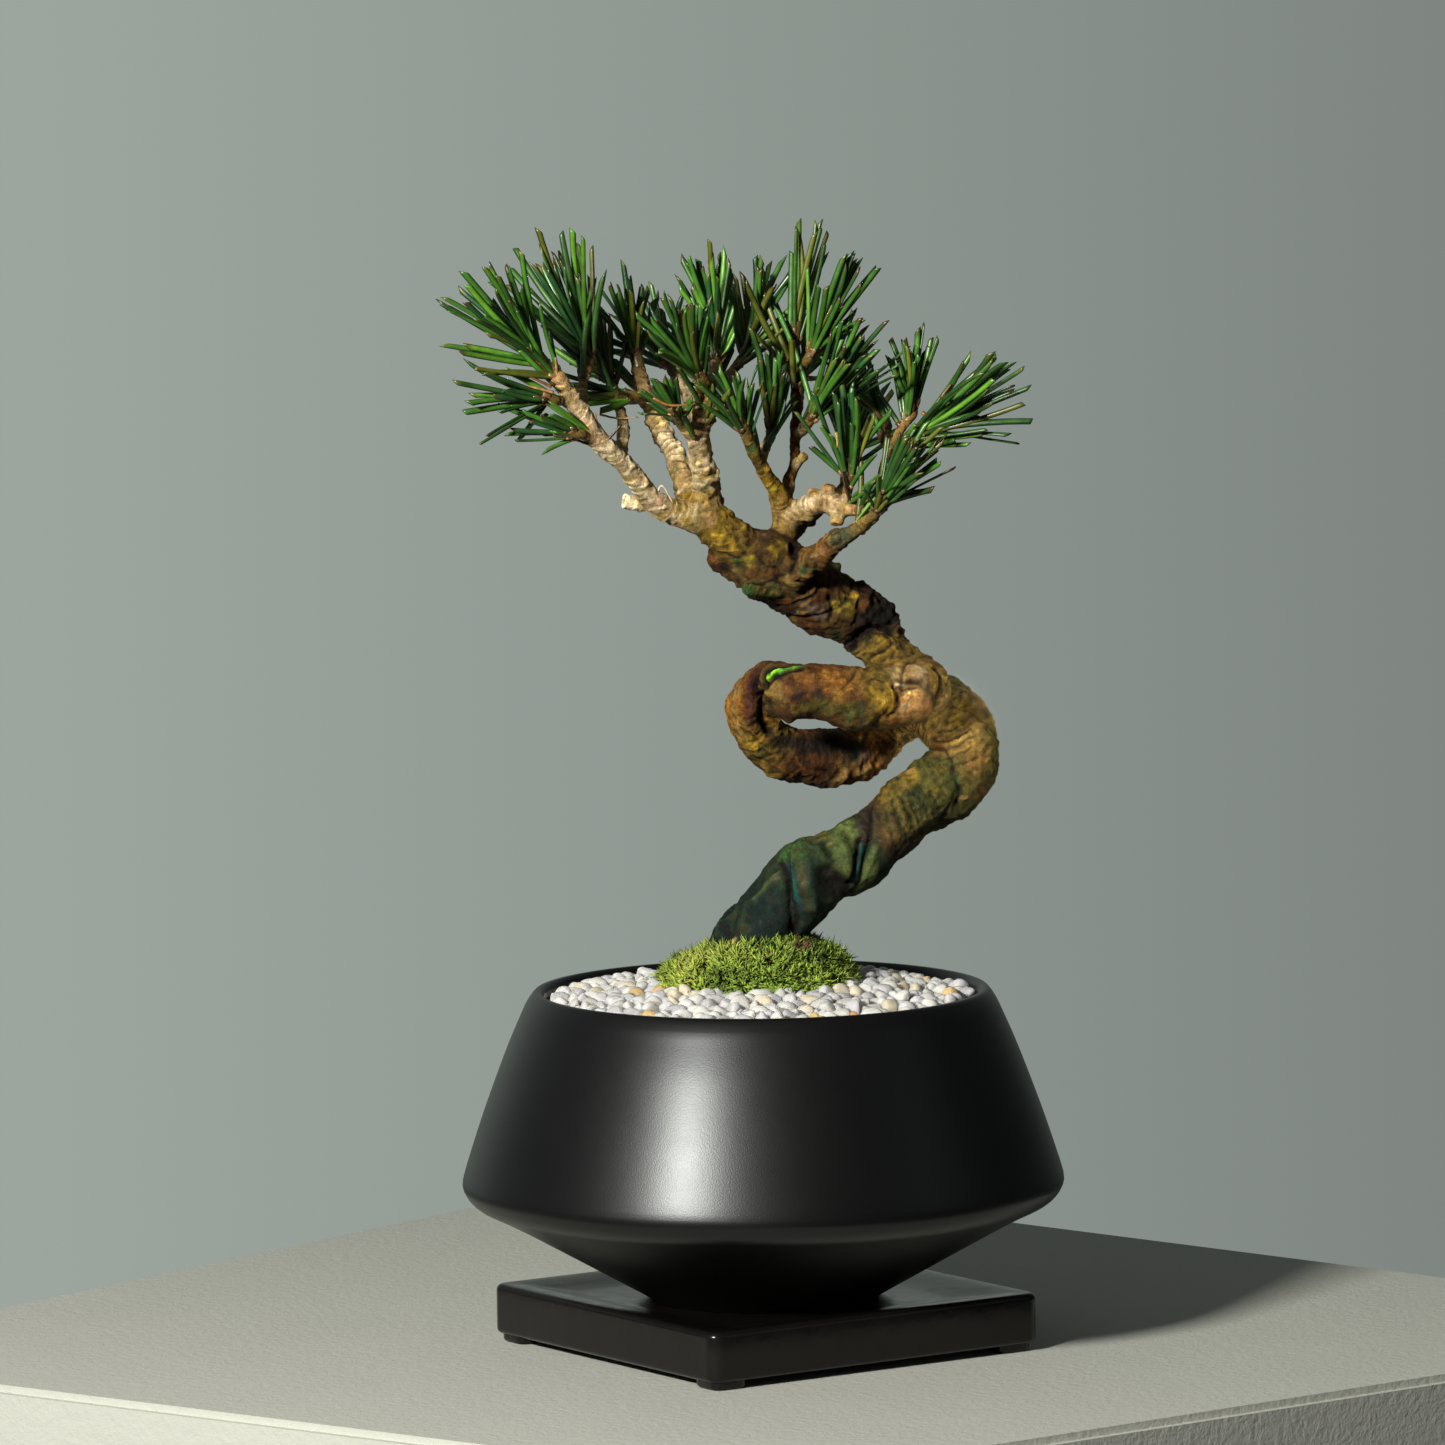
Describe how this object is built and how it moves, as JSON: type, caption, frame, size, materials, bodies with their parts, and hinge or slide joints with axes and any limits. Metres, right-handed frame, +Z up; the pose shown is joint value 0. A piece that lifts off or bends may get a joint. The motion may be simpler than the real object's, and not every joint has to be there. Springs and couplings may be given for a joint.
{
  "type": "bonsai tree",
  "caption": "Potted bonsai pine: a looped, gnarled trunk with sprays of needles, in a round pot with moss and gravel on a square footed tray.",
  "frame": {"origin": "on the pot's axis, at the surface that the tray's feet stand on", "axes": "+Z up, along the pot's axis; -Y towards the side that the tree is shown from; +X to that viewer's right"},
  "size_m": [0.1224, 0.12, 0.2241],
  "materials": {
    "tray_ceramic": "glossy black glaze",
    "pot_ceramic": "satin black, semi-matte glaze",
    "net": "matte black net",
    "soil": "granular, matte",
    "gravel": "rough white grains",
    "moss": "soft, fuzzy and matte",
    "bark": "rough, wrinkled bark",
    "needles": "waxy green leaf"
  },
  "bodies": {
    "root": {"tray": "tray_ceramic", "pot": "pot_ceramic", "drainage_mesh": "net", "soil": "soil", "gravel": "gravel", "moss": "moss", "tree": "bark", "spray_01": "needles", "spray_02": "needles", "spray_03": "needles", "spray_04": "needles", "spray_05": "needles", "spray_06": "needles", "spray_07": "needles", "spray_08": "needles", "spray_09": "needles", "spray_10": "needles", "spray_11": "needles", "spray_12": "needles", "spray_13": "needles", "spray_14": "needles", "spray_15": "needles", "spray_16": "needles", "spray_17": "needles", "spray_18": "needles", "spray_19": "needles", "spray_20": "needles", "spray_21": "needles", "spray_22": "needles", "spray_23": "needles", "spray_24": "needles", "spray_25": "needles", "spray_26": "needles"}
  },
  "joints": []
}
